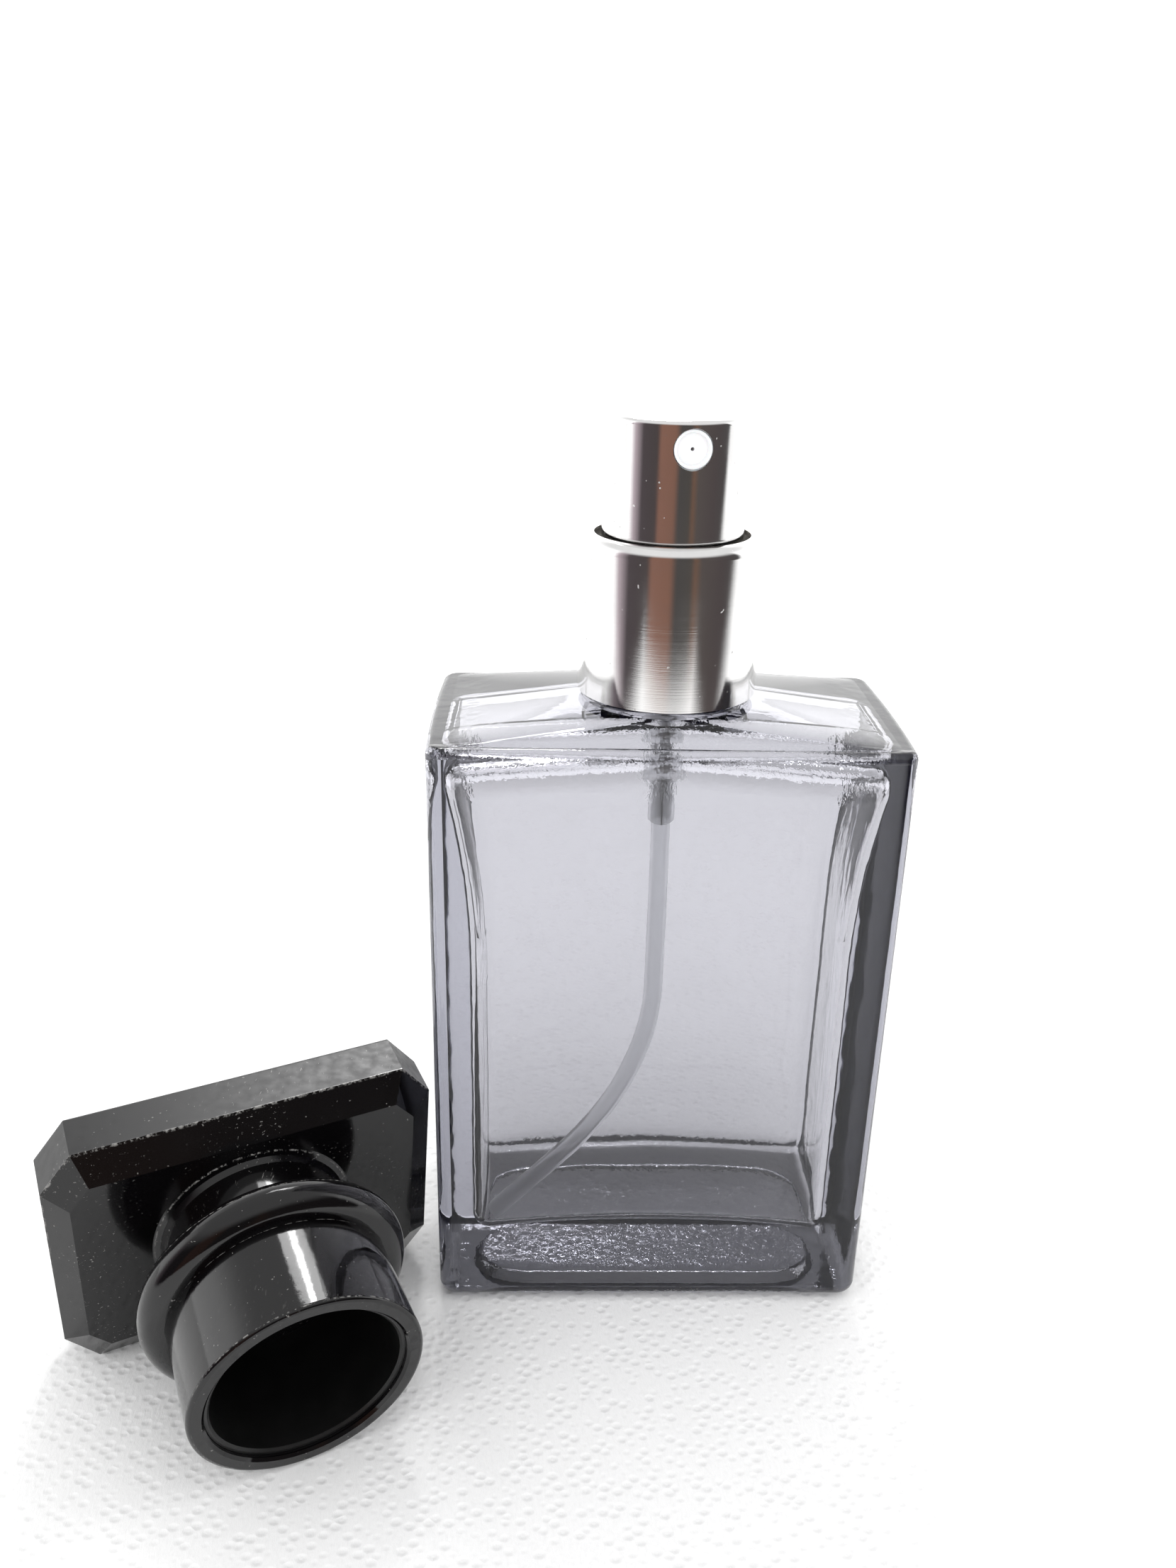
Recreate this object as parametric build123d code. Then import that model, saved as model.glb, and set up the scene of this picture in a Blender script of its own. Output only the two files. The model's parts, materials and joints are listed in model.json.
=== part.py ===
from build123d import *
import os
from math import atan, cos, degrees, radians, sin, sqrt, tan

# Fine-mist aftershave bottle with its pull-off cap lying beside it. Millimetres, +Z up.
# Origin: centre of the bottle's base, on the surface that it stands on. The wide front face is at -Y.

# ---------------------------------------------------------------- driving dimensions
# Glass bottle
BOTTLE_W = 55.0            # width across the bowed ends
BOTTLE_D = 29.0            # depth, front face to back face
SHOULDER_Z = 76.7          # height of the shoulder's outer edge
END_BOW = 0.4              # how far each end face bows out at its middle
WALL_FRONT = 5.5           # glass thickness of the front and back
CAVITY_HALF_LOW = 22.9     # half width of the hollow in its lower part
CAVITY_HALF_TOP = 26.2     # half width of the hollow under the shoulder
FLARE_START_Z = 46.0       # where the hollow starts to widen upwards
FLOOR_EDGE_Z = 8.3         # thick base: the hollow's floor at its ends
FLOOR_RISE = 1.7           # the floor arches up this much in the middle
CAVITY_ROUND = 2.2         # inner edge rounding
CAVITY_ROOF_ROUND = 4.0    # softer rounding where the front and back walls meet the shoulder
SIDE_EDGE_R = 1.9          # outer vertical edges
FOOT_EDGE_R = 2.4          # outer edge round the base
PUNT = (46.0, 17.6, 7.5)   # hollowed base: length, depth, corner radius
PUNT_HEIGHT = 1.6
DOME_RISE = 2.2            # the shoulder climbs this much from its edge to the neck

# 18 mm screw neck, one and a half turns
PLATFORM_R = 10.0          # round glass ledge under the collar
PLATFORM_TOP = SHOULDER_Z + 2.8
NECK_R = 7.85
NECK_BORE_R = 5.75
NECK_TOP = 89.5
THREAD_CREST_R = 8.85
THREAD_PITCH = 3.175
THREAD_TURNS = 1.5
THREAD_START_Z = 81.5

# Screw closure and its aluminium collar
COLLAR_R = 10.45
COLLAR_BOTTOM = SHOULDER_Z + 3.1
COLLAR_TOP = SHOULDER_Z + 21.2
COLLAR_OPENING_R = 8.8
SHEET = 0.4                # aluminium thickness
CLOSURE_R = 10.0
CLOSURE_ROOT_R = 9.15
CLOSURE_CREST_R = 8.15

# Pump
GASKET_T = 0.8
FLANGE_T = 0.8
FLANGE_TOP = NECK_TOP + GASKET_T + FLANGE_T
WEB_T = 0.8
BARREL_R, BARREL_BORE_R = 5.0, 3.15
BARREL_BOTTOM, BORE_BOTTOM = 79.4, 80.2
CHAMBER_R, CHAMBER_BORE_R = 2.65, 2.05
CHAMBER_BOTTOM = SHOULDER_Z - 6.4
SEAT_Z, SEAT_R = CHAMBER_BOTTOM + 1.3, 0.8
TAIL_R, TUBE_R, TUBE_BORE_R = 1.6, 1.15, 0.75
TAIL_BOTTOM = SHOULDER_Z - 13.6
TUBE_TOP = CHAMBER_BOTTOM - 0.1
STEM_R = 1.3
RUNNING = 0.06             # radial clearance of a running fit
STROKE = 4.5
BALL_R = 1.2
SPRING_R, WIRE_R, SPRING_TURNS = 1.6, 0.2, 8
PISTON_TOP, PISTON_H = 88.1, 2.5

# Actuator button
BUTTON_R = 8.0
BUTTON_TOP = SHOULDER_Z + 34.1
BUTTON_BOTTOM = COLLAR_TOP - 0.5
STEM_TOP = 104.2
NOZZLE_Z = SHOULDER_Z + 31.2
NOZZLE_HOLE_R = 2.175
NOZZLE_TURN = 8.3          # degrees from -Y towards +X

# Dip tube: straight down, one long bend, then straight into the front left corner
TUBE_END = (-20.5, -7.4, 10.6)
TUBE_BEND_R = 28.8
TUBE_CORNER_Z = 26.3

# Cap: a cut-cornered slab on a stem, with a beaded sleeve that slips over the collar
PLATE_A, PLATE_B = 22.8, 17.1      # half length and half width of the slab
PLATE_T = 7.9
CUT_A, CUT_B = 3.6, 4.8            # corner cut along the length and along the width
BEVEL_DROP = 1.95
BEVEL_A, BEVEL_B = 2.7, 3.8        # bevel width at the ends and along the long sides
INNER_CUT_A, INNER_CUT_B = 2.3, 2.8
CAP_STEM_R, CAP_STEM_FOOT = 10.9, 1.1
BEAD_START, BEAD_R, BEAD_ROUND = 7.2, 15.5, 2.5
LEDGE = 8.8                        # the collar's top stops here
MOUTH = 23.73                      # sleeve's open end
SLEEVE_R_TOP, SLEEVE_R_MOUTH = 12.76, 13.04
SLEEVE_BORE_R = 11.15
LINER_BORE_R = 10.5
POCKET_R, POCKET_TOP = 8.6, -5.0   # room for the button
CAP_YAW = 25.85                    # the cap lies turned this much, on its slab's edge and its mouth
CAP_X, CAP_Y = -48.8, -19.1


# ---------------------------------------------------------------- helpers
def disc(radius, z_low, z_high):
    """Solid cylinder about Z between two heights."""
    return Pos(0, 0, z_low) * Cylinder(radius, z_high - z_low, align=(Align.CENTER, Align.CENTER, Align.MIN))


def ring(r_out, r_in, z_low, z_high):
    """Tube about Z between two heights."""
    return disc(r_out, z_low, z_high) - disc(r_in, z_low - 1, z_high + 1)


def turned(points):
    """Solid of revolution about Z from a closed outline of (radius, height) points."""
    return revolve(make_face(Plane.XZ * Polyline(*points, close=True)), Axis.Z)


def screw_thread(root_r, crest_r, start_z, half_root, half_crest, sink):
    """One helical ridge of trapezoid section; sink is how far its foot reaches into the wall."""
    outward = 1 if crest_r > root_r else -1
    path = Pos(0, 0, start_z) * Helix(THREAD_PITCH, THREAD_TURNS * THREAD_PITCH, root_r)
    section_plane = Plane(origin=path @ 0, x_dir=(1, 0, 0), z_dir=path % 0)
    height = crest_r - root_r
    foot = -outward * sink
    root = [(foot, half_root), (foot, -half_root)]
    crest = [(height, -half_crest), (height, half_crest)]
    outline = Polyline(*root, *crest, close=True)
    return sweep(section_plane * make_face(outline), path=path, is_frenet=True)


def nozzle_place(radial):
    """Frame on the button's side at the nozzle: local Z points out along the spray."""
    turn = radians(NOZZLE_TURN)
    outward = Vector(sin(turn), -cos(turn), 0)
    sideways = (cos(turn), sin(turn), 0)
    return Plane(origin=outward * radial + Vector(0, 0, NOZZLE_Z), x_dir=sideways, z_dir=outward)


# ---------------------------------------------------------------- bottle
def bottle_block():
    """Outer glass: bowed ends, rounded edges, hipped shoulder rising to the round ledge."""
    x, y = BOTTLE_W / 2 - END_BOW, BOTTLE_D / 2
    outline = Curve() + [
        Line((-x, -y), (x, -y)),
        ThreePointArc((x, -y), (x + END_BOW, 0), (x, y)),
        Line((x, y), (-x, y)),
        ThreePointArc((-x, y), (-x - END_BOW, 0), (-x, -y)),
    ]
    block = extrude(make_face(outline), SHOULDER_Z)
    block = fillet(block.edges().filter_by(Axis.Z), SIDE_EDGE_R)
    block = fillet(block.faces().sort_by(Axis.Z)[0].edges(), FOOT_EDGE_R)
    block = fillet(block.faces().sort_by(Axis.Z)[-1].edges(), 0.9)
    foot = Pos(0, 0, SHOULDER_Z - 0.1) * RectangleRounded(2 * x - 2.0, 2 * y - 2.0, 1.0)
    crown = RectangleRounded(2 * PLATFORM_R, 2 * PLATFORM_R, PLATFORM_R - 0.1)
    crown = Pos(0, 0, SHOULDER_Z + DOME_RISE) * crown
    return block + loft([foot, crown], ruled=True)


def bottle_hollow():
    """The space for the liquid, its arched floor and its walls that flare out under the shoulder."""
    low, top = CAVITY_HALF_LOW, CAVITY_HALF_TOP
    roof_edge_z = SHOULDER_Z - 3.6
    right = Line((low, FLOOR_EDGE_Z), (low, FLARE_START_Z))
    halfway = (low + 0.26 * (top - low), FLARE_START_Z + 15)
    flare = ThreePointArc((low, FLARE_START_Z), halfway, (top, roof_edge_z))
    roof = Line((top, roof_edge_z), (0, SHOULDER_Z - 1.4))
    half = [right, flare, roof]
    floor = ThreePointArc((-low, FLOOR_EDGE_Z), (0, FLOOR_EDGE_Z + FLOOR_RISE), (low, FLOOR_EDGE_Z))
    outline = Curve() + half + [mirror(edge, Plane.YZ) for edge in half] + [floor]
    depth = BOTTLE_D - 2 * WALL_FRONT
    hollow = extrude(Plane.XZ * make_face(outline), depth / 2, both=True)
    middles = [(edge, edge.center()) for edge in hollow.edges()]
    ridges = [edge for edge, middle in middles if middle.Z > roof_edge_z + 0.5 and abs(middle.Y) > 1]
    hollow = fillet(ridges, CAVITY_ROOF_ROUND)
    rest = [edge for edge in hollow.edges() if edge.center().Z < roof_edge_z - 0.5]
    return fillet(rest, CAVITY_ROUND)


def glass_bottle():
    glass = bottle_block()
    glass += disc(PLATFORM_R, SHOULDER_Z + 1.5, PLATFORM_TOP)
    glass = fillet(glass.edges().filter_by(GeomType.CIRCLE).group_by(Axis.Z)[-1], 0.4)
    neck = disc(NECK_R, SHOULDER_Z, NECK_TOP)
    neck = fillet(neck.edges().group_by(Axis.Z)[-1], 0.5)
    glass += neck
    punt = extrude(RectangleRounded(*PUNT), PUNT_HEIGHT, taper=25)
    glass -= fillet(punt.faces().sort_by(Axis.Z)[-1].edges(), 0.8)
    glass -= bottle_hollow()
    glass -= disc(NECK_BORE_R, SHOULDER_Z - 5, NECK_TOP + 1)
    return glass + screw_thread(NECK_R, THREAD_CREST_R, THREAD_START_Z, 0.75, 0.35, 0.3)


# ---------------------------------------------------------------- closure
def collar_shell():
    """Drawn aluminium sleeve with a rounded shoulder and a rolled opening."""
    outer = disc(COLLAR_R, COLLAR_BOTTOM, COLLAR_TOP)
    outer = fillet(outer.edges().group_by(Axis.Z)[-1], 1.3)
    inner = disc(COLLAR_R - SHEET, COLLAR_BOTTOM - 1, COLLAR_TOP - SHEET)
    inner = fillet(inner.edges().group_by(Axis.Z)[-1], 0.9)
    shell = outer - inner - disc(COLLAR_OPENING_R, COLLAR_BOTTOM, COLLAR_TOP + 1)
    top_circles = shell.edges().filter_by(GeomType.CIRCLE).group_by(Axis.Z)[-1]
    return fillet(top_circles.sort_by(SortBy.RADIUS)[0], 0.15)


def screw_closure():
    """Threaded plastic ring that carries the shell and clamps the pump's flange on the neck."""
    low = COLLAR_BOTTOM + 0.3
    well_wall = ring(CLOSURE_R, 8.9, FLANGE_TOP, COLLAR_TOP - SHEET - 0.9)
    body = ring(CLOSURE_R, CLOSURE_ROOT_R, low, FLANGE_TOP)
    web = ring(CLOSURE_R, 5.2, FLANGE_TOP, FLANGE_TOP + WEB_T)
    half_pitch = THREAD_PITCH / 2
    ridge = screw_thread(CLOSURE_ROOT_R, CLOSURE_CREST_R, THREAD_START_Z + half_pitch, 0.7, 0.35, 0.3)
    return body + web + well_wall + ridge


# ---------------------------------------------------------------- pump
def neck_gasket():
    return ring(8.5, 5.9, NECK_TOP, NECK_TOP + GASKET_T)


def pump_housing():
    """Flanged barrel, spring chamber, ball seat and tube socket in one turned profile."""
    flange_low = FLANGE_TOP - FLANGE_T
    cone = BARREL_R - CHAMBER_R
    profile = [
        (TUBE_R, TAIL_BOTTOM), (TAIL_R, TAIL_BOTTOM + 0.4), (TAIL_R, CHAMBER_BOTTOM - 1.05),
        (CHAMBER_R, CHAMBER_BOTTOM), (CHAMBER_R, BARREL_BOTTOM - cone), (BARREL_R, BARREL_BOTTOM),
        (BARREL_R, flange_low), (8.5, flange_low), (8.5, FLANGE_TOP), (BARREL_BORE_R, FLANGE_TOP),
        (BARREL_BORE_R, BORE_BOTTOM + 1.1), (CHAMBER_BORE_R, BORE_BOTTOM), (CHAMBER_BORE_R, SEAT_Z),
        (SEAT_R, SEAT_Z), (SEAT_R, CHAMBER_BOTTOM), (TUBE_R, CHAMBER_BOTTOM),
    ]
    vent = Pos(-BARREL_R, 0, FLANGE_TOP - 3.0) * Rot(0, 90, 0) * Cylinder(0.35, 5)
    return turned(profile) - vent


def stem_guide():
    """Gland pressed into the barrel's mouth; its bore guides the stem."""
    bore = STEM_R + RUNNING
    profile = [
        (bore, FLANGE_TOP - 2.2), (BARREL_BORE_R - 0.03, FLANGE_TOP - 2.2),
        (BARREL_BORE_R - 0.03, FLANGE_TOP),
        (4.8, FLANGE_TOP), (4.8, FLANGE_TOP + WEB_T), (2.5, FLANGE_TOP + WEB_T),
        (2.2, FLANGE_TOP + WEB_T + 0.4), (bore, FLANGE_TOP + WEB_T + 0.4),
    ]
    return turned(profile)


def stem_seal():
    return ring(BARREL_BORE_R - 0.03, STEM_R + RUNNING / 2, FLANGE_TOP - 2.7, FLANGE_TOP - 2.2)


def return_spring():
    """Compression spring between the chamber's shelf and the plunger's spring seat."""
    low, high = SEAT_Z + WIRE_R, PISTON_TOP - PISTON_H - 0.6 - WIRE_R
    path = Pos(0, 0, low) * Helix((high - low) / SPRING_TURNS, high - low, SPRING_R)
    section = Plane(origin=path @ 0, x_dir=(1, 0, 0), z_dir=path % 0) * Circle(WIRE_R)
    return sweep(section, path=path, is_frenet=True)


def dip_tube():
    corner, end = Vector(0, 0, TUBE_CORNER_Z), Vector(*TUBE_END)
    path = FilletPolyline((0, 0, TUBE_TOP), corner, end, radius=TUBE_BEND_R)
    section_plane = Plane(origin=(0, 0, TUBE_TOP), z_dir=(0, 0, -1))
    return sweep(section_plane * (Circle(TUBE_R) - Circle(TUBE_BORE_R)), path=path)


def check_ball():
    rise = sqrt(BALL_R ** 2 - SEAT_R ** 2)
    return Pos(0, 0, SEAT_Z + rise) * Sphere(BALL_R)


def pump_stem():
    """Hollow stem from the piston to the button, with a cross port above the piston's foot."""
    foot = PISTON_TOP - PISTON_H
    stem = disc(STEM_R, foot, STEM_TOP) - disc(0.5, foot + 0.8, STEM_TOP + 1)
    port = Pos(0, 0, foot + 1.2) * Rot(0, 90, 0) * Cylinder(0.3, 4)
    return chamfer(stem.edges().group_by(Axis.Z)[-1].sort_by(SortBy.RADIUS)[-1], 0.2) - port


def piston():
    """Two-lipped plastic piston on the stem."""
    low, high = PISTON_TOP - PISTON_H, PISTON_TOP
    lip, waist, bore = BARREL_BORE_R - 0.05, 2.75, STEM_R
    profile = [
        (bore, low), (lip - 0.3, low), (lip, low + 0.35), (waist, low + 0.8), (waist, high - 0.8),
        (lip, high - 0.35), (lip - 0.3, high), (bore, high),
    ]
    return turned(profile)


def spring_stem():
    """Poppet pin under the piston: a seat for the spring and a guide inside its coils."""
    seat = PISTON_TOP - PISTON_H
    pin = [(0, 79.6), (0.6, 79.6), (0.9, 80.0), (0.9, seat - 0.6)]
    profile = [*pin, (1.9, seat - 0.6), (1.9, seat), (0, seat)]
    return turned(profile)


# ---------------------------------------------------------------- actuator
def actuator_shell():
    """Aluminium skin of the button, with the round window for the nozzle."""
    outer = disc(BUTTON_R, BUTTON_BOTTOM, BUTTON_TOP)
    outer = fillet(outer.edges().group_by(Axis.Z)[-1], 0.6)
    inner = disc(BUTTON_R - SHEET, BUTTON_BOTTOM - 1, BUTTON_TOP - SHEET)
    window = extrude(nozzle_place(0) * Circle(NOZZLE_HOLE_R), BUTTON_R + 1)
    return outer - inner - window


def actuator_core():
    """Moulded button: skirt, stem socket and the channel to the nozzle."""
    radius, top = BUTTON_R - SHEET - 0.05, BUTTON_TOP - SHEET - 0.05
    core = disc(radius, BUTTON_BOTTOM + 0.2, top)
    core -= ring(radius - 0.9, 2.7, BUTTON_BOTTOM, STEM_TOP - 0.8)
    core -= disc(2.8, BUTTON_BOTTOM, BUTTON_BOTTOM + 1.2)
    core -= disc(STEM_R + RUNNING, BUTTON_BOTTOM, STEM_TOP)
    core -= disc(0.6, STEM_TOP - 1, NOZZLE_Z)
    core -= extrude(nozzle_place(0) * Circle(0.6), 5)
    return core - extrude(nozzle_place(4.0) * Circle(2.1), 5)


def nozzle_insert():
    """Swirl insert: a plug with a dished face and the spray orifice."""
    face = BUTTON_R - 0.3
    plug = extrude(nozzle_place(4.6) * Circle(2.05), face - 4.6)
    dish = extrude(nozzle_place(face - 0.35) * Circle(1.65), 1, taper=-20)
    swirl_room = extrude(nozzle_place(4.5) * Circle(0.7), 1.6)
    orifice = extrude(nozzle_place(4.5) * Circle(0.2), 5)
    return plug - dish - swirl_room - orifice


# ---------------------------------------------------------------- cap, in its own frame
# Local X runs along the slab, local Z from the slab's inner face to the sleeve's mouth.
def cut_rectangle(a, b, cut_a, cut_b):
    right = [(a, -(b - cut_b)), (a, b - cut_b), (a - cut_a, b)]
    left = [(-(a - cut_a), b), (-a, b - cut_b), (-a, -(b - cut_b))]
    return make_face(Polyline(*right, *left, (-(a - cut_a), -b), (a - cut_a, -b), close=True))


def cap_plate():
    """Bevelled slab and its round stem, hollowed for the button."""
    outline = cut_rectangle(PLATE_A, PLATE_B, CUT_A, CUT_B)
    inner = cut_rectangle(PLATE_A - BEVEL_A, PLATE_B - BEVEL_B, INNER_CUT_A, INNER_CUT_B)
    slab = extrude(Pos(0, 0, -PLATE_T) * outline, PLATE_T - BEVEL_DROP)
    slab = fillet(slab.faces().sort_by(Axis.Z)[0].edges(), 0.5)
    slab += loft([Pos(0, 0, -BEVEL_DROP) * outline, inner], ruled=True)
    foot = CAP_STEM_R + CAP_STEM_FOOT
    stem = turned([(0, -1), (foot, -1), (foot, 0), (CAP_STEM_R + 0.3, 0.35), (CAP_STEM_R, CAP_STEM_FOOT),
                   (CAP_STEM_R, BEAD_START), (10.0, BEAD_START), (10.0, LEDGE), (0, LEDGE)])
    return slab + stem - disc(POCKET_R, POCKET_TOP, LEDGE + 1)


def cap_sleeve():
    """Beaded ring and the slightly flared cup under it."""
    bead_end = BEAD_START + 2 * BEAD_ROUND
    bead = disc(BEAD_R, BEAD_START, bead_end)
    bead = fillet(bead.edges(), BEAD_ROUND - 0.02)
    cup = turned([(0, bead_end - 1), (SLEEVE_R_TOP, bead_end - 1), (SLEEVE_R_TOP, bead_end),
                  (SLEEVE_R_MOUTH, MOUTH), (0, MOUTH)])
    cup = fillet(cup.edges().group_by(Axis.Z)[-1], 0.5)
    sleeve = bead + cup - disc(10.03, BEAD_START - 1, LEDGE + 1) - disc(SLEEVE_BORE_R, LEDGE, MOUTH + 1)
    top_circles = sleeve.edges().filter_by(GeomType.CIRCLE).group_by(Axis.Z)[-1]
    return chamfer(top_circles.sort_by(SortBy.RADIUS)[0], 0.3)


def cap_liner():
    """Soft inner sleeve that grips the collar."""
    liner = ring(SLEEVE_BORE_R - 0.03, LINER_BORE_R, LEDGE, MOUTH - 0.7)
    return chamfer(liner.edges().group_by(Axis.Z)[-1].sort_by(SortBy.RADIUS)[0], 0.25)


def cap_place():
    """The cap rests on the slab's lower long edge and on the rim of its mouth."""
    tilt = atan((PLATE_B - SLEEVE_R_MOUTH) / (MOUTH + BEVEL_DROP))
    height = PLATE_B * cos(tilt) - BEVEL_DROP * sin(tilt)
    yaw = radians(CAP_YAW)
    along = Vector(cos(yaw), sin(yaw), 0)
    towards_mouth = Vector(sin(yaw) * cos(tilt), -cos(yaw) * cos(tilt), -sin(tilt))
    print("cap tilt", round(degrees(tilt), 2), "cap origin z", round(height, 3))
    print("cap axis", [round(c, 5) for c in towards_mouth])
    print("socket at", place_point(along, towards_mouth, height))
    return Plane(origin=(CAP_X, CAP_Y, height), x_dir=along, z_dir=towards_mouth)


def place_point(along, axis, height):
    """Middle of the liner's bore in the bottle's frame."""
    point = Vector(CAP_X, CAP_Y, height) + axis * ((LEDGE + MOUTH) / 2)
    return [round(c, 3) for c in point]


# ---------------------------------------------------------------- build and write
def build():
    cap = cap_place()
    return {
        "glass_bottle": glass_bottle(),
        "collar_shell": collar_shell(),
        "screw_closure": screw_closure(),
        "neck_gasket": neck_gasket(),
        "pump_housing": pump_housing(),
        "stem_guide": stem_guide(),
        "stem_seal": stem_seal(),
        "return_spring": return_spring(),
        "dip_tube": dip_tube(),
        "check_ball": check_ball(),
        "pump_stem": pump_stem(),
        "piston": piston(),
        "spring_stem": spring_stem(),
        "actuator_shell": actuator_shell(),
        "actuator_core": actuator_core(),
        "nozzle_insert": nozzle_insert(),
        "cap_plate": cap.location * cap_plate(),
        "cap_sleeve": cap.location * cap_sleeve(),
        "cap_liner": cap.location * cap_liner(),
    }


os.makedirs("parts", exist_ok=True)
for name, shape in build().items():
    shape.label = name
    export_step(shape, f"parts/{name}.step")
print("liquid space", round(bottle_hollow().volume / 1000, 1), "ml")
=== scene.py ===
import json
import math

import bpy
from mathutils import Matrix, Vector


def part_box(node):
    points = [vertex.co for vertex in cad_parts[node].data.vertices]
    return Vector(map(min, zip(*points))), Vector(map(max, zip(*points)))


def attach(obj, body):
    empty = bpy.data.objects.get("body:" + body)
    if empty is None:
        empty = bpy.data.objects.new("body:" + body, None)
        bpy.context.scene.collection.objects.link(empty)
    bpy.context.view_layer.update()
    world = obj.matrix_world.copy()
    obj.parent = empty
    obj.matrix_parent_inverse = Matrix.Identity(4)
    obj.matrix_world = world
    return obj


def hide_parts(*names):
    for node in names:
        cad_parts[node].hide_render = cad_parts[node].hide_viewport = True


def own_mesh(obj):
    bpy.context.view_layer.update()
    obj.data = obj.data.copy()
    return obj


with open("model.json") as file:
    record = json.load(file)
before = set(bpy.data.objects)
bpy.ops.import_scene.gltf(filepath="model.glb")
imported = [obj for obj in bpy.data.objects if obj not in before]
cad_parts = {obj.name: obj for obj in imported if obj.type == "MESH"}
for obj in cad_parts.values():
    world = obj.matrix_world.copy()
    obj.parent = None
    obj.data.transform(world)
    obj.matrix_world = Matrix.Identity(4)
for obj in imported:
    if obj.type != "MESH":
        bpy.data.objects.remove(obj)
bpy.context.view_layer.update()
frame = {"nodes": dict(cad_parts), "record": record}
NODES = frame["nodes"]

# ------------------------------------------------------------------ places read from the frame, metres
COLLAR_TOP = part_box("collar_shell")[1].z
SOCKET = next(mount for mount in frame["record"]["mounts"] if mount["name"] == "cap_socket")
SOCKET_FROM_SLAB = 0.01579                            # from the slab's inner face to the socket's middle
CAP_AXIS = Vector(SOCKET["axis"]).normalized()        # from the slab towards the cap's mouth
CAP_ORIGIN = Vector(SOCKET["pos_m"]) - SOCKET_FROM_SLAB * CAP_AXIS   # centre of the slab's inner face
CAP_LENGTHWISE = CAP_AXIS.cross(Vector((0, 0, 1))).normalized() * -1
CAP_UPWARDS = CAP_LENGTHWISE.cross(CAP_AXIS)


# ------------------------------------------------------------------ node helpers
def new_material(name):
    material = bpy.data.materials.new(name)
    material.use_nodes = True
    material.node_tree.nodes.clear()
    return material, material.node_tree


def add(tree, kind, **values):
    """Adds a shader node; keyword arguments set its properties, and the dict inputs sets its sockets."""
    made = tree.nodes.new(kind)
    for key, value in values.pop("inputs", {}).items():
        made.inputs[key].default_value = value
    for key, value in values.items():
        setattr(made, key, value)
    return made


def wire(tree, source, target):
    tree.links.new(source, target)


def principled(tree, **inputs):
    shader = add(tree, "ShaderNodeBsdfPrincipled", inputs=inputs)
    out = add(tree, "ShaderNodeOutputMaterial")
    wire(tree, shader.outputs[0], out.inputs["Surface"])
    return shader, out


def object_point(tree, scale=(1, 1, 1), turn=(0, 0, 0)):
    coordinates = add(tree, "ShaderNodeTexCoord")
    mapping = add(tree, "ShaderNodeMapping", inputs={"Scale": scale, "Rotation": turn})
    wire(tree, coordinates.outputs["Object"], mapping.inputs["Vector"])
    return mapping.outputs["Vector"]


def noise(tree, vector, scale, detail=3.0, roughness=0.5):
    made = add(tree, "ShaderNodeTexNoise", inputs={"Scale": scale, "Detail": detail, "Roughness": roughness})
    wire(tree, vector, made.inputs["Vector"])
    return made.outputs["Fac"]


def ramp(tree, value, low, high, to_low=0.0, to_high=1.0, smooth=False):
    made = add(tree, "ShaderNodeMapRange", inputs={"From Min": low, "From Max": high, "To Min": to_low,
                                                   "To Max": to_high})
    if smooth:
        made.interpolation_type = "SMOOTHSTEP"
    wire(tree, value, made.inputs["Value"])
    return made.outputs["Result"]


def math_node(tree, operation, a, b):
    made = add(tree, "ShaderNodeMath", operation=operation)
    for socket, value in zip(made.inputs, (a, b)):
        if isinstance(value, (int, float)):
            socket.default_value = value
        else:
            wire(tree, value, socket)
    return made.outputs[0]


def absolute(tree, value):
    return math_node(tree, "ABSOLUTE", value, 0.0)


def beyond(tree, value, limit):
    return math_node(tree, "GREATER_THAN", value, limit)


def below(tree, value, limit):
    return math_node(tree, "LESS_THAN", value, limit)


def times(tree, first, *others):
    for other in others:
        first = math_node(tree, "MULTIPLY", first, other)
    return first


def highest(tree, first, *others):
    for other in others:
        first = math_node(tree, "MAXIMUM", first, other)
    return first


def mix_color(tree, factor, a, b):
    made = add(tree, "ShaderNodeMix", data_type="RGBA")
    for socket, value in ((made.inputs["Factor"], factor), (made.inputs[6], a), (made.inputs[7], b)):
        if hasattr(value, "is_output"):
            wire(tree, value, socket)
        else:
            socket.default_value = value
    return made.outputs[2]


def bump(tree, height, distance, strength=1.0, normal=None):
    made = add(tree, "ShaderNodeBump", inputs={"Strength": strength, "Distance": distance})
    wire(tree, height, made.inputs["Height"])
    if normal:
        wire(tree, normal, made.inputs["Normal"])
    return made.outputs["Normal"]


def along(tree, point, origin, axis):
    """Distance of a point from origin, measured along axis."""
    made = add(tree, "ShaderNodeVectorMath", operation="DOT_PRODUCT")
    wire(tree, point, made.inputs[0])
    made.inputs[1].default_value = axis
    return math_node(tree, "SUBTRACT", made.outputs["Value"], origin.dot(axis))


def far_from(tree, point, centre):
    """Distance of a point from centre."""
    made = add(tree, "ShaderNodeVectorMath", operation="DISTANCE")
    wire(tree, point, made.inputs[0])
    made.inputs[1].default_value = centre
    return made.outputs["Value"]


def split_xyz(tree, vector):
    made = add(tree, "ShaderNodeSeparateXYZ")
    wire(tree, vector, made.inputs[0])
    return made.outputs[:3]


def mix_shaders(tree, share, first, second, target):
    """Blends two shaders into target; share 1 is all second."""
    made = add(tree, "ShaderNodeMixShader")
    for source, socket in zip((share, first.outputs[0], second.outputs[0]), made.inputs):
        wire(tree, source, socket)
    wire(tree, made.outputs[0], target)


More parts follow.
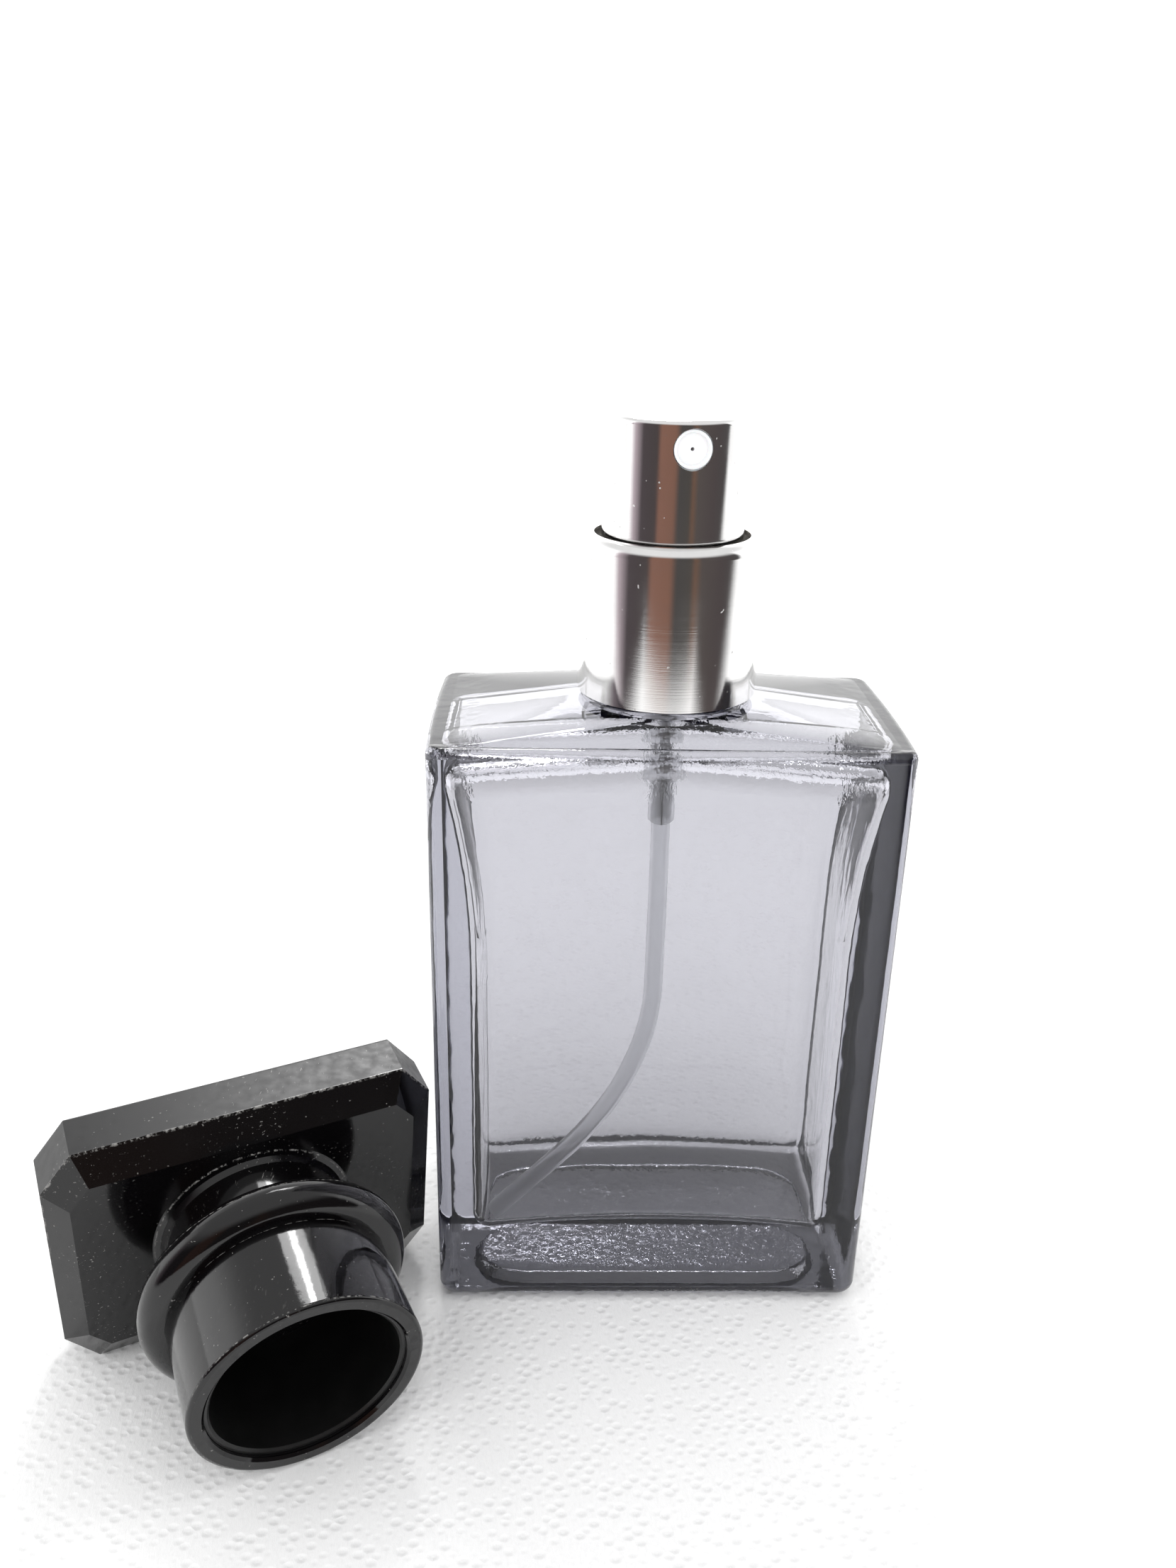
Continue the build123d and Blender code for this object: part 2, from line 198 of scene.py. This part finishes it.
# ------------------------------------------------------------------ glass
GLASS_IOR = 1.5
GLASS_COLOR, GLASS_DENSITY = (0.5, 0.51, 0.60, 1), 31.0   # absorption inside the glass, per metre
LACQUER = 0.20                           # optical depth of the lacquer on the outside, straight through
BASE_LACQUER = 0.15                      # extra depth where it has pooled under the base
POOL_TOP, POOL_FULL = 0.0030, 0.0022     # heights between which the pooling sets in
LACQUER_TINT = (0.525, 0.523, 0.553, 1)  # what two crossings of it let through
CLEAR_TINT = (1, 1, 1, 1)
PIGMENT = (0.045, 0.045, 0.085, 1)       # the lacquer's own colour, seen where light turns back inside
TURNED_BACK = 0.98                       # Fresnel share above which the reflection is total
GRAZING = 0.05                           # least cosine, for a finite path through the lacquer
HOLLOW_HALF_X, HOLLOW_HALF_Y = 0.0262, 0.0115   # everything farther out than this is outside glass
HOLLOW_LOW_Z, HOLLOW_HIGH_Z = 0.0050, 0.0758

# Relief of the pressed glass: noise scale per metre, height in metres, strength
WAVES = (70, 0.0006, 0.25)
FINE_RELIEF = (900, 0.00002, 0.15)
RIPPLES = (330, 0.00017, 0.45)
CRINKLES = (1100, 0.00016, 0.8)
RIPPLED_X = (0.0195, 0.0225)             # the ripples set in between these distances from the middle
TOP_FACE_Z = 0.0756                      # the outside top edge begins here
OUTER_EDGE_Y = (-0.0126, -0.0132)
INNER_EDGE_Z, INNER_EDGE_Y = (0.0690, 0.0705), (-0.0045, -0.0060)
FRONT_WALL_Y = -0.0140
FLOOR_EDGE_Y, FLOOR_EDGE_Z = (0.0060, 0.0072), (0.0126, 0.0112)
FLOOR_HALF_Y, FLOOR_LOW_Z = 0.0120, 0.0060
PUNT_LOW_Z, PUNT_EDGE_Z = 0.0003, (0.0026, 0.0022)
FOOT_Z, FOOT_CRINKLE = (0.0135, 0.0118), 0.25


def outside_mask(tree, point):
    """1 on the bottle's outer faces, 0 on the walls of its hollow."""
    x, y, z = split_xyz(tree, point)
    return highest(tree, beyond(tree, absolute(tree, x), HOLLOW_HALF_X),
                   beyond(tree, absolute(tree, y), HOLLOW_HALF_Y),
                   beyond(tree, z, HOLLOW_HIGH_Z), below(tree, z, HOLLOW_LOW_Z))


def crinkled_places(tree, point):
    """1 at the edges where the mould left the glass crinkled, and faintly over the whole foot."""
    _, y, z = split_xyz(tree, point)
    off_centre = absolute(tree, y)
    foot = times(tree, ramp(tree, z, *FOOT_Z), FOOT_CRINKLE)
    outer_edge = times(tree, beyond(tree, z, TOP_FACE_Z), ramp(tree, y, *OUTER_EDGE_Y))
    inner_edge = times(tree, ramp(tree, z, *INNER_EDGE_Z), ramp(tree, y, *INNER_EDGE_Y),
                       beyond(tree, y, FRONT_WALL_Y), below(tree, z, TOP_FACE_Z))
    floor_edge = times(tree, ramp(tree, off_centre, *FLOOR_EDGE_Y), ramp(tree, z, *FLOOR_EDGE_Z),
                       below(tree, off_centre, FLOOR_HALF_Y), beyond(tree, z, FLOOR_LOW_Z))
    punt_edge = times(tree, beyond(tree, z, PUNT_LOW_Z), ramp(tree, z, *PUNT_EDGE_Z))
    return highest(tree, foot, outer_edge, inner_edge, floor_edge, punt_edge)


def glass_relief(tree, point):
    """Pressed glass: slow waves all over, ripples down the hollow's corners, and crinkled edges and base."""
    scale, height, strength = WAVES
    normal = bump(tree, noise(tree, point, scale, 1.0), height, strength)
    scale, height, strength = FINE_RELIEF
    normal = bump(tree, noise(tree, point, scale, 2.0), height, strength, normal)
    scale, height, strength = RIPPLES
    corner = ramp(tree, absolute(tree, split_xyz(tree, point)[0]), *RIPPLED_X, smooth=True)
    ripples = noise(tree, object_point(tree, scale=(1.0, 1.0, 0.45)), scale, 2.0)
    normal = bump(tree, times(tree, ripples, corner), height, strength, normal)
    scale, height, strength = CRINKLES
    crinkles = noise(tree, object_point(tree, scale=(1.0, 0.6, 0.6)), scale, 3.0, 0.6)
    return bump(tree, times(tree, crinkles, crinkled_places(tree, point)), height, strength, normal)


def lacquer_share(tree, point, outside):
    """Share of light the lacquer soaks up where it turns back inside the glass, more at grazing angles."""
    fresnel = add(tree, "ShaderNodeFresnel", inputs={"IOR": GLASS_IOR}).outputs[0]
    turned_back = beyond(tree, fresnel, TURNED_BACK)
    facing = add(tree, "ShaderNodeLayerWeight", inputs={"Blend": 0.5}).outputs["Facing"]
    steepness = math_node(tree, "MAXIMUM", math_node(tree, "SUBTRACT", 1.0, facing), GRAZING)
    pooled = ramp(tree, split_xyz(tree, point)[2], POOL_TOP, POOL_FULL, LACQUER, LACQUER + BASE_LACQUER)
    depth = math_node(tree, "DIVIDE", times(tree, pooled, -2.0), steepness)
    absorbed = math_node(tree, "SUBTRACT", 1.0, math_node(tree, "EXPONENT", depth, 0.0))
    return times(tree, outside, turned_back, absorbed)


def smoked_glass():
    """Clear glass with a smoke lacquer outside, which darkens most the light that turns back inside."""
    material, tree = new_material("smoked_glass")
    shader, out = principled(tree, **{"Roughness": 0.0, "IOR": GLASS_IOR, "Transmission Weight": 1.0})
    point = object_point(tree)
    outside = outside_mask(tree, point)
    wire(tree, mix_color(tree, outside, CLEAR_TINT, LACQUER_TINT), shader.inputs["Base Color"])
    wire(tree, glass_relief(tree, point), shader.inputs["Normal"])
    pigment = add(tree, "ShaderNodeBsdfDiffuse", inputs={"Color": PIGMENT})
    mix_shaders(tree, lacquer_share(tree, point, outside), shader, pigment, out.inputs["Surface"])
    volume = add(tree, "ShaderNodeVolumeAbsorption", inputs={"Color": GLASS_COLOR, "Density": GLASS_DENSITY})
    wire(tree, volume.outputs[0], out.inputs["Volume"])
    return material


# ------------------------------------------------------------------ metal and plastics
ALUMINIUM, HANDLED_ALUMINIUM = (0.86, 0.855, 0.85, 1), (0.78, 0.775, 0.77, 1)
LATHE_MARKS = (40, 40, 9000)             # rings round the sprayer's axis


def polished_aluminium():
    """Turned and polished: fine rings, finger smudges, and a few small nicks."""
    material, tree = new_material("polished_aluminium")
    shader, _ = principled(tree, Metallic=1.0)
    lathe = noise(tree, object_point(tree, scale=LATHE_MARKS), 1.0, 3.0, 0.6)
    smudge = noise(tree, object_point(tree), 220, 4.0, 0.6)
    color = mix_color(tree, ramp(tree, smudge, 0.35, 0.75), ALUMINIUM, HANDLED_ALUMINIUM)
    wire(tree, color, shader.inputs["Base Color"])
    nicks = ramp(tree, noise(tree, object_point(tree), 1500, 1.0), 0.772, 0.79)
    rough = math_node(tree, "MAXIMUM", ramp(tree, smudge, 0.3, 0.8, 0.06, 0.14), times(tree, nicks, 0.6))
    wire(tree, rough, shader.inputs["Roughness"])
    normal = bump(tree, lathe, 0.000006, 0.4)
    wire(tree, bump(tree, nicks, 0.00004, 0.6, normal), shader.inputs["Normal"])
    return material


BLACK = (0.0022, 0.0020, 0.0023, 1)
DUST = (0.22, 0.215, 0.205, 1)
WEAR_AND_HIGHLIGHT = (0.24, 0.235, 0.225, 1)
HIGHLIT_SIDE_Z = (0.014, 0.027)                 # painted highlight: the ridge lines of wear are lighter only on the upper side, from the first height, fully from the second


def ridge_line(tree, distance, place, half_width):
    """1 on a narrow line at one distance, fading to 0 on both sides."""
    off = absolute(tree, math_node(tree, "SUBTRACT", distance, place))
    return ramp(tree, off, half_width, half_width * 0.3)


def dust_specks(tree, point):
    """Single grains, and hairs that lie in patches."""
    grains = times(tree, ramp(tree, noise(tree, point, 2300, 1.0), 0.755, 0.775), 0.6)
    hairs = noise(tree, object_point(tree, scale=(1.0, 0.22, 1.3), turn=(0.4, 0.2, 0.7)), 2600, 2.0, 0.6)
    patches = ramp(tree, noise(tree, point, 95, 2.0), 0.46, 0.60)
    near_slab = ramp(tree, along(tree, point, CAP_ORIGIN, CAP_AXIS), 0.010, 0.002, 0.1, 0.8)
    return highest(tree, grains, times(tree, ramp(tree, hairs, 0.66, 0.72), patches, near_slab))


def gloss_black(name, roughness, wear_highlight_at, waves):
    """Black cap plastic: dust, ridge lines of wear at the given distances along the cap's axis with a
    painted highlight on their upper side, and sink waves.
    Its roughness and normal are left to the caller, and come last in what it returns."""
    material, tree = new_material(name)
    shader, _ = principled(tree, IOR=1.5)
    point = object_point(tree)
    depth = along(tree, point, CAP_ORIGIN, CAP_AXIS)
    speckle = ramp(tree, noise(tree, point, 1700, 3.0, 0.7), 0.48, 0.62)
    speckle = times(tree, speckle, ramp(tree, split_xyz(tree, point)[2], *HIGHLIT_SIDE_Z))
    # painted highlight: lighter ridge lines, partly wear and partly the lamp caught on the upper side
    wear_and_highlight = highest(tree, *(times(tree, ridge_line(tree, depth, *line), speckle) for line in wear_highlight_at))
    color = mix_color(tree, dust_specks(tree, point), BLACK, DUST)
    wire(tree, mix_color(tree, wear_and_highlight, color, WEAR_AND_HIGHLIGHT), shader.inputs["Base Color"])
    cloud = ramp(tree, noise(tree, point, 160, 3.0), 0.35, 0.7, roughness, roughness + 0.07)
    normal = bump(tree, noise(tree, point, waves, 3.0), 0.00004, 0.35)
    return material, tree, shader, point, depth, cloud, normal


# Ridge lines of wear, painted lighter as a highlight on their upper side: place along the cap's axis from
# the slab's inner face, half width
SLAB_RIDGES = ((-0.00195, 0.00016), (0.0001, 0.00006))
SLEEVE_RIDGES = ((0.0088, 0.00010), (0.01225, 0.00004), (0.02335, 0.00010))
SLAB_SIDE = -0.0020                      # behind this the slab's faces are its satin sides
ARC_SPACING = 0.00042
ARC_INSIDE, ARC_OUTSIDE = (0.0008, 0.0014), (0.0058, 0.0040)   # radii where the arcs fade in and out
ARC_CENTRES = ((-0.0170, -0.0042), (0.0085, -0.0042))   # along the slab, along the axis
ARC_TOP = 0.0171                         # the slab's upper side, above its middle


def slab_plastic():
    """The slab: mirror-black inner face, satin sides with curved tool marks near their ends."""
    material, tree, shader, point, depth, cloud, normal = gloss_black(
        "cap_slab_plastic", 0.07, SLAB_RIDGES, 160)
    side = below(tree, depth, SLAB_SIDE)
    grain = ramp(tree, noise(tree, point, 900, 3.0), 0.3, 0.7, 0.30, 0.40)
    rough = add(tree, "ShaderNodeMix", data_type="FLOAT")
    for socket, value in zip(rough.inputs[:1] + rough.inputs[2:4], (side, cloud, grain)):
        wire(tree, value, socket)
    wire(tree, rough.outputs[0], shader.inputs["Roughness"])
    for across, deep in ARC_CENTRES:
        centre = CAP_ORIGIN + across * CAP_LENGTHWISE + deep * CAP_AXIS + ARC_TOP * CAP_UPWARDS
        off = far_from(tree, point, centre)
        rings = math_node(tree, "SINE", times(tree, off, 2 * math.pi / ARC_SPACING), 0.0)
        area = times(tree, ramp(tree, off, *ARC_INSIDE), ramp(tree, off, *ARC_OUTSIDE), side)
        normal = bump(tree, times(tree, rings, area), 0.000022, 0.5, normal)
    wire(tree, normal, shader.inputs["Normal"])
    return material


def sleeve_plastic():
    """The beaded sleeve: glossy all over."""
    material, tree, shader, _, _, cloud, normal = gloss_black(
        "cap_sleeve_plastic", 0.05, SLEEVE_RIDGES, 620)
    wire(tree, cloud, shader.inputs["Roughness"])
    wire(tree, normal, shader.inputs["Normal"])
    return material


def moulded(name, base, roughness, transmission=0.0, subsurface=0.0, ior=1.49):
    """Plain moulded plastic or rubber, with faint clouding and a fine surface grain."""
    material, tree = new_material(name)
    shader, _ = principled(tree, **{"IOR": ior, "Transmission Weight": transmission,
                                    "Subsurface Weight": subsurface, "Subsurface Scale": 0.001})
    point = object_point(tree)
    cloud = noise(tree, point, 320, 3.0)
    darker = tuple(c * 0.9 for c in base[:3]) + (1,)
    wire(tree, mix_color(tree, cloud, base, darker), shader.inputs["Base Color"])
    wire(tree, ramp(tree, cloud, 0.3, 0.7, roughness, roughness + 0.12), shader.inputs["Roughness"])
    wire(tree, bump(tree, noise(tree, point, 1500, 2.0), 0.00002, 0.3), shader.inputs["Normal"])
    return material


SKIRT_PLASTIC = ((0.035, 0.032, 0.036, 1), (0.05, 0.046, 0.05, 1))
BARE_PLASTIC = ((0.66, 0.63, 0.57, 1), (0.56, 0.53, 0.48, 1))
BARE_FROM = (0.0022, 0.0016)             # below the collar's top


def closure_plastic():
    """Dark skirt; the ring round the button is bare, paler plastic."""
    material, tree = new_material("closure_plastic")
    shader, _ = principled(tree)
    point = object_point(tree)
    cloud = noise(tree, point, 320, 3.0)
    upper = ramp(tree, split_xyz(tree, point)[2], COLLAR_TOP - BARE_FROM[0], COLLAR_TOP - BARE_FROM[1])
    skirt = mix_color(tree, cloud, *SKIRT_PLASTIC)
    bare = mix_color(tree, cloud, *BARE_PLASTIC)
    wire(tree, mix_color(tree, upper, skirt, bare), shader.inputs["Base Color"])
    wire(tree, ramp(tree, cloud, 0.3, 0.7, 0.35, 0.5), shader.inputs["Roughness"])
    return material


BRIGHT_STEEL, DULL_STEEL = (0.62, 0.61, 0.6, 1), (0.5, 0.49, 0.48, 1)


def spring_wire():
    """Drawn steel wire."""
    material, tree = new_material("spring_wire")
    shader, _ = principled(tree, Metallic=1.0)
    drawn = noise(tree, object_point(tree), 4000, 2.0)
    wire(tree, mix_color(tree, drawn, BRIGHT_STEEL, DULL_STEEL), shader.inputs["Base Color"])
    wire(tree, ramp(tree, drawn, 0.3, 0.7, 0.2, 0.4), shader.inputs["Roughness"])
    return material


def dress(node, material):
    mesh = NODES[node].data
    mesh.materials.clear()
    mesh.materials.append(material)


STEEL = spring_wire()
FINISHES = (
    (smoked_glass(), ("glass_bottle",)),
    (polished_aluminium(), ("collar_shell", "actuator_shell")),
    (slab_plastic(), ("cap_plate",)),
    (sleeve_plastic(), ("cap_sleeve",)),
    (moulded("liner_plastic", (0.003, 0.003, 0.003, 1), 0.35), ("cap_liner",)),
    (moulded("white_plastic", (0.86, 0.86, 0.87, 1), 0.3, subsurface=0.1),
     ("actuator_core", "nozzle_insert")),
    (moulded("natural_plastic", (0.97, 0.975, 0.985, 1), 0.4, transmission=0.92, ior=1.08),
     ("pump_housing", "stem_guide", "dip_tube", "piston", "spring_stem", "pump_stem")),
    (closure_plastic(), ("screw_closure",)),
    (moulded("gasket_rubber", (0.7, 0.7, 0.69, 1), 0.6), ("neck_gasket", "stem_seal")),
    (STEEL, ("return_spring", "check_ball")),
)
for finish, dressed in FINISHES:
    for node in dressed:
        dress(node, finish)


# ------------------------------------------------------------------ return spring
SPRING_TURNS, STEPS_PER_TURN = 8, 36
WIRE_RADIUS, WIRE_SIDES = 0.0002, 10


def spring_mesh(radius, low, high):
    """A round wire wound into a helix about the bottle's axis, between two heights."""
    points, faces = [], []
    steps = SPRING_TURNS * STEPS_PER_TURN
    for step in range(steps + 1):
        turn = 2 * math.pi * step / STEPS_PER_TURN
        outward = Vector((math.cos(turn), math.sin(turn), 0))
        centre = radius * outward + Vector((0, 0, low + (high - low) * step / steps))
        for side in range(WIRE_SIDES):
            angle = 2 * math.pi * side / WIRE_SIDES
            aside = math.cos(angle) * outward + math.sin(angle) * Vector((0, 0, 1))
            points.append(centre + WIRE_RADIUS * aside)
            if step < steps:
                here = step * WIRE_SIDES + side
                beside = step * WIRE_SIDES + (side + 1) % WIRE_SIDES
                faces.append((here, here + WIRE_SIDES, beside + WIRE_SIDES, beside))
    faces.append(tuple(range(WIRE_SIDES)))
    faces.append(tuple(reversed(range(steps * WIRE_SIDES, (steps + 1) * WIRE_SIDES))))
    mesh = bpy.data.meshes.new("coiled_spring")
    mesh.from_pydata(points, [], faces)
    mesh.polygons.foreach_set("use_smooth", [True] * len(mesh.polygons))
    return mesh


def make_spring():
    """The pump's return spring as a coiled wire, hung on the pump's body in place of the plain part."""
    low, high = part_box("return_spring")
    mesh = spring_mesh((high.x - low.x) / 2 - WIRE_RADIUS, low.z + WIRE_RADIUS, high.z - WIRE_RADIUS)
    mesh.materials.append(STEEL)
    spring = bpy.data.objects.new("coiled_spring", mesh)
    bpy.context.scene.collection.objects.link(spring)
    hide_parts("return_spring")
    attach(spring, "pump")
    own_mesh(spring)


# ------------------------------------------------------------------ table, light and camera
FAR = 3.0                                # half the cloth's side
CLOTH_DROP = 0.0002                      # the cloth's level below the bottle's base
GLOW_FROM_Y, GLOW_TO_Y, GLOW = 0.012, 0.12, 0.10   # painted light: the cloth behind the bottle glows, brighter towards the back
DIMPLE_SCALE = 640
CLOTH, DIMPLE = (0.955, 0.955, 0.95, 1), (0.90, 0.90, 0.895, 1)
CLOTH_FIBRE, CLOTH_PATCH = (0.87, 0.87, 0.865, 1), (0.88, 0.88, 0.875, 1)
# painted shade: the grey that the cloth turns to farther back, seen through the glass
FAR_CLOTH = (0.5, 0.5, 0.5, 1)
FAR_CLOTH_Y, FAR_SHADE_SHARE = (0.04, 0.40), 0.55
CLOTH_END_AHEAD = (-0.20, -0.31)         # distances over which the cloth gives way to the room
CLOTH_MIDDLE_X, CLOTH_END_ASIDE, CLOTH_ASIDE_Y = -0.02, (0.11, 0.20), (-0.04, -0.14)


def cloth_end(tree, point):
    """How far the cloth has given way to the dark room in front and at the sides, in mirrors only."""
    x, y, _ = split_xyz(tree, point)
    ahead = ramp(tree, y, *CLOTH_END_AHEAD, smooth=True)
    off_middle = absolute(tree, math_node(tree, "ADD", x, -CLOTH_MIDDLE_X))
    aside = ramp(tree, off_middle, *CLOTH_END_ASIDE, smooth=True)
    aside = times(tree, aside, ramp(tree, y, *CLOTH_ASIDE_Y, smooth=True))
    mirrored = add(tree, "ShaderNodeLightPath").outputs["Is Glossy Ray"]
    return times(tree, highest(tree, ahead, aside), mirrored)


def cloth_color(tree, point, pit, fibres):
    """Pale cloth with darker dimples, fibres and patches; through the glass it has painted shade that
    deepens with distance.
    """
    color = mix_color(tree, pit, DIMPLE, CLOTH)
    color = mix_color(tree, ramp(tree, fibres, 0.45, 0.7, 0.0, 0.5), color, CLOTH_FIBRE)
    patches = ramp(tree, noise(tree, point, 60, 2.0), 0.5, 0.8, 0.0, 0.35)
    color = mix_color(tree, patches, color, CLOTH_PATCH)
    seen_through = add(tree, "ShaderNodeLightPath").outputs["Is Transmission Ray"]
    far_shade = ramp(tree, split_xyz(tree, point)[1], *FAR_CLOTH_Y, 0.0, FAR_SHADE_SHARE, smooth=True)
    return mix_color(tree, times(tree, seen_through, far_shade), color, FAR_CLOTH)


def cloth_material():
    """Soft non-woven cloth, pressed with rows of dimples."""
    material, tree = new_material("pale_floor")
    shader, out = principled(tree, **{"Roughness": 0.85, "Emission Color": (1, 1, 1, 1)})
    point = object_point(tree)
    dimples = add(tree, "ShaderNodeTexVoronoi", inputs={"Scale": DIMPLE_SCALE, "Randomness": 0.5})
    wire(tree, object_point(tree, scale=(1.0, 1.25, 1.0), turn=(0, 0, 0.62)), dimples.inputs["Vector"])
    pit = ramp(tree, dimples.outputs["Distance"], 0.12, 0.50, smooth=True)
    fibres = noise(tree, object_point(tree, scale=(1.0, 0.35, 1.0), turn=(0, 0, 0.3)), 2600, 4.0, 0.65)
    wire(tree, cloth_color(tree, point, pit, fibres), shader.inputs["Base Color"])
    normal = bump(tree, pit, 0.0003, 0.32)
    wire(tree, bump(tree, fibres, 0.00008, 0.6, normal), shader.inputs["Normal"])
    # painted light: the cloth glows behind the bottle
    painted_glow = ramp(tree, split_xyz(tree, point)[1], GLOW_FROM_Y, GLOW_TO_Y, 0.0, GLOW, smooth=True)
    wire(tree, painted_glow, shader.inputs["Emission Strength"])
    room = add(tree, "ShaderNodeBsdfTransparent")
    mix_shaders(tree, cloth_end(tree, point), shader, room, out.inputs["Surface"])
    return material


def make_floor():
    mesh = bpy.data.meshes.new("floor")
    mesh.from_pydata([(-FAR, -FAR, 0), (FAR, -FAR, 0), (FAR, FAR, 0), (-FAR, FAR, 0)], [], [(0, 1, 2, 3)])
    mesh.materials.append(cloth_material())
    floor = bpy.data.objects.new("floor", mesh)
    floor.location.z = -CLOTH_DROP
    bpy.context.scene.collection.objects.link(floor)


# Vertical bands of the dark room in front: azimuth from the front (degrees, towards +X) and colour
ROOM_BANDS = (
    (-86, (2.0, 2.0, 2.0)), (-72, (0.55, 0.46, 0.50)), (-58, (0.085, 0.07, 0.075)),
    (-34, (0.075, 0.062, 0.062)), (-28, (0.26, 0.135, 0.10)), (-6, (0.24, 0.125, 0.09)),
    (2, (0.075, 0.07, 0.068)), (19, (0.08, 0.072, 0.066)), (25, (0.17, 0.10, 0.07)),
    (33, (0.10, 0.085, 0.08)), (60, (0.085, 0.07, 0.07)), (84, (0.075, 0.07, 0.07)), (92, (2.0, 2.0, 2.0)),
)


def room_colors(tree, x, y):
    """Colour of the surroundings seen in a mirror, by azimuth."""
    azimuth = math_node(tree, "ARCTAN2", x, times(tree, y, -1.0))
    bands = add(tree, "ShaderNodeValToRGB")
    wire(tree, ramp(tree, azimuth, -math.pi, math.pi), bands.inputs["Fac"])
    stops = bands.color_ramp.elements
    while len(stops) < len(ROOM_BANDS):
        stops.new(1.0)
    for stop, (degrees, color) in zip(stops, ROOM_BANDS):
        stop.position = (degrees + 180) / 360
        stop.color = (*color, 1)
    return bands.outputs["Color"]


# What each kind of ray meets beyond the cloth
OVERHEAD, OVERHEAD_FROM = (0.9, 0.9, 0.9, 1), (0.35, 0.75)   # in mirrors, above these heights
LIT_FRONT, LIT_BACK = (1.5, 1.5, 1.51, 1), (1.0, 1.0, 1.0, 1)   # what lights the plain surfaces
THROUGH_FRONT, THROUGH_BACK = (0.22, 0.22, 0.24, 1), (0.82, 0.82, 0.82, 1)   # through the glass
THROUGH_TURN = (0.10, 0.60)
BACKDROP = (1.3, 1.3, 1.3, 1)


def make_world():
    """A soft white studio with a dim room in front, which shows only in mirrors and through the glass."""
    world = bpy.data.worlds.new("studio")
    bpy.context.scene.world = world
    world.use_nodes = True
    tree = world.node_tree
    tree.nodes.clear()
    out = add(tree, "ShaderNodeOutputWorld")
    x, y, z = split_xyz(tree, add(tree, "ShaderNodeTexCoord").outputs["Generated"])
    path = add(tree, "ShaderNodeLightPath")
    overhead = ramp(tree, z, *OVERHEAD_FROM, smooth=True)
    room = mix_color(tree, overhead, room_colors(tree, x, y), OVERHEAD)
    around = mix_color(tree, ramp(tree, y, -0.5, 0.5, smooth=True), LIT_FRONT, LIT_BACK)
    beyond_glass = mix_color(tree, ramp(tree, y, *THROUGH_TURN, smooth=True), THROUGH_FRONT, THROUGH_BACK)
    color = mix_color(tree, path.outputs["Is Transmission Ray"], around, beyond_glass)
    color = mix_color(tree, path.outputs["Is Glossy Ray"], color, room)
    color = mix_color(tree, path.outputs["Is Camera Ray"], color, BACKDROP)
    sky = add(tree, "ShaderNodeBackground", inputs={"Strength": 1.0})
    wire(tree, color, sky.inputs["Color"])
    wire(tree, sky.outputs[0], out.inputs["Surface"])


# Two lamps behind and above, one soft and one small and bright: name, place, size, radiance
LAMPS = (
    ("back_lamp", (-0.035, 0.46, 0.68), (0.26, 0.18), 8),
    ("back_lamp_core", (-0.03, 0.45, 0.67), (0.06, 0.16), 25),
)
LAMP_AIM = (0, 0, 0.03)


def area_light(name, place, size, radiance):
    light = bpy.data.lights.new(name, "AREA")
    light.shape = "RECTANGLE"
    light.size, light.size_y = size
    light.energy = radiance * math.pi * size[0] * size[1]
    made = bpy.data.objects.new(name, light)
    made.location = place
    made.rotation_euler = (Vector(LAMP_AIM) - Vector(place)).to_track_quat("-Z", "Y").to_euler()
    bpy.context.scene.collection.objects.link(made)


CAMERA_PLACE = (-0.0130, -0.1437, 0.1257)
CAMERA_TURN = (1.64, 22.19, -1.264)      # degrees: towards +X, down, and roll
CAMERA_LENS, CAMERA_SENSOR = 29.342, 36.0


def make_camera():
    yaw, pitch, roll = (math.radians(angle) for angle in CAMERA_TURN)
    forward = Vector((math.sin(yaw) * math.cos(pitch), math.cos(yaw) * math.cos(pitch), -math.sin(pitch)))
    level = Vector((math.cos(yaw), -math.sin(yaw), 0))
    up = level.cross(forward)
    right = level * math.cos(roll) - up * math.sin(roll)
    up = right.cross(forward)
    data = bpy.data.cameras.new("camera")
    data.sensor_width = CAMERA_SENSOR
    data.lens = CAMERA_LENS
    data.clip_start, data.clip_end = 0.01, 20
    camera = bpy.data.objects.new("camera", data)
    rows = [(right[i], up[i], -forward[i], CAMERA_PLACE[i]) for i in range(3)]
    camera.matrix_world = Matrix((*rows, (0, 0, 0, 1)))
    bpy.context.scene.collection.objects.link(camera)
    bpy.context.scene.camera = camera


make_spring()
make_floor()
make_world()
for lamp in LAMPS:
    area_light(*lamp)
make_camera()
bpy.context.scene.view_settings.view_transform = "Standard"
